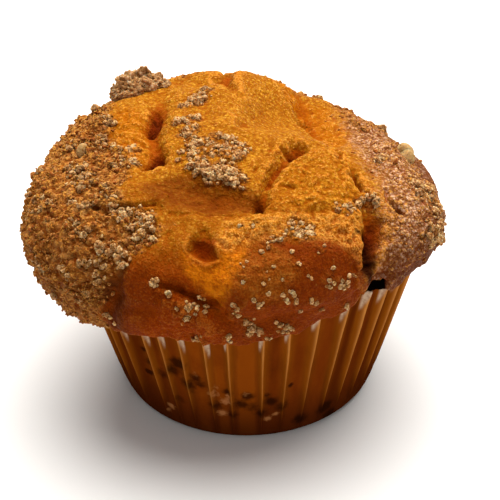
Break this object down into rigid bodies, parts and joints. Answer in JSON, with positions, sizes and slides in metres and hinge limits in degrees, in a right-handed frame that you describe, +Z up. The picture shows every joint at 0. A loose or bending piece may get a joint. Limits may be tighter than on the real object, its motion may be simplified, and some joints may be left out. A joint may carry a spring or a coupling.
{
  "type": "unfrosted cupcake",
  "caption": "Cracked golden muffin with a lobed crown, baked-on streusel crumbs and a pleated, grease-darkened paper case.",
  "frame": {"origin": "centre of the paper case's flat base, on the surface the muffin stands on", "axes": "+Z up out of the crown; the pictured side faces -Y, with +X to its right"},
  "size_m": [0.0822, 0.0799, 0.0566],
  "materials": {
    "cake": "matte",
    "paper_case": "satin"
  },
  "bodies": {
    "root": {"cake": "cake", "paper_case": "paper_case"}
  },
  "joints": []
}
